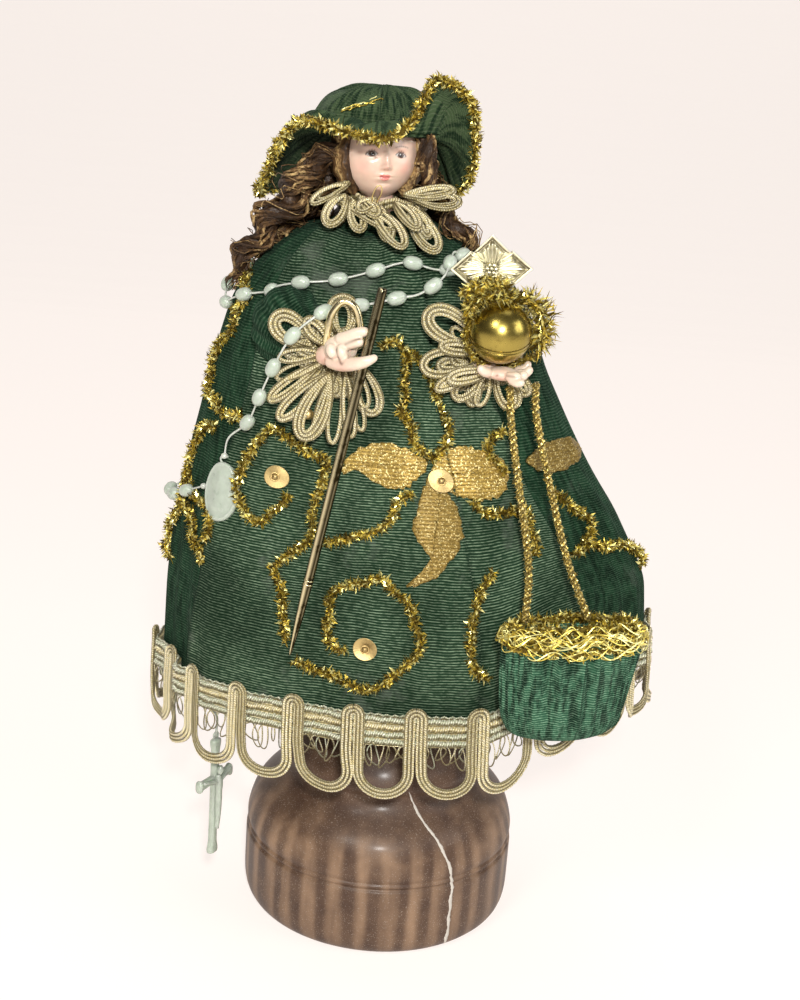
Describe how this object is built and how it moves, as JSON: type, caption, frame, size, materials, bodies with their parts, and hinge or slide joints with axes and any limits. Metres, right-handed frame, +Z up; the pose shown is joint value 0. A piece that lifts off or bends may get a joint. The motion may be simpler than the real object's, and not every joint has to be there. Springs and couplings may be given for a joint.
{
  "type": "dressed child figurine",
  "caption": "Dressed devotional child figure in a ribbed velvet gown and wide hat, with staff, orb, basket and beads, on a turned stand.",
  "frame": {"origin": "centre of the stand's underside", "axes": "+Z up, the figure faces -Y, +X is the figure's left, where the orb and the basket are"},
  "size_m": [0.1717, 0.135, 0.2871],
  "materials": {
    "glaze": "satin",
    "porcelain": "satin",
    "hair": "satin",
    "velvet": "matte",
    "braid": "satin",
    "tinsel": "polished",
    "brass": "polished",
    "gilt": "polished",
    "bead": "satin",
    "glitter": "satin"
  },
  "bodies": {
    "root": {"base": "glaze", "gown": "velvet", "cape": "velvet", "front_panel": "velvet", "side_panel": "velvet", "head": "porcelain", "hair": "hair", "hat": "velvet", "hat_trim": "tinsel", "collar": "braid", "right_sleeve": "velvet", "left_sleeve": "velvet", "right_cuff": "braid", "left_cuff": "braid", "right_hand": "porcelain", "left_hand": "porcelain", "staff": "brass", "crook": "brass", "orb": "gilt", "orb_cross": "gilt", "orb_tinsel": "tinsel", "basket": "velvet", "basket_trim": "tinsel", "basket_cord_a": "tinsel", "basket_cord_b": "tinsel", "rosary_loop": "bead", "rosary_pendant": "bead", "rosary_medal": "bead", "rosary_crucifix": "bead", "hem_braid": "braid", "scroll_1": "tinsel", "scroll_2": "tinsel", "scroll_3": "tinsel", "scroll_4": "tinsel", "scroll_5": "tinsel", "scroll_6": "tinsel", "scroll_7": "tinsel", "scroll_8": "tinsel", "petal_left": "glitter", "petal_right": "glitter", "petal_low": "glitter", "petal_far": "glitter", "sequin_a": "gilt", "sequin_b": "gilt", "sequin_c": "gilt"}
  },
  "joints": []
}
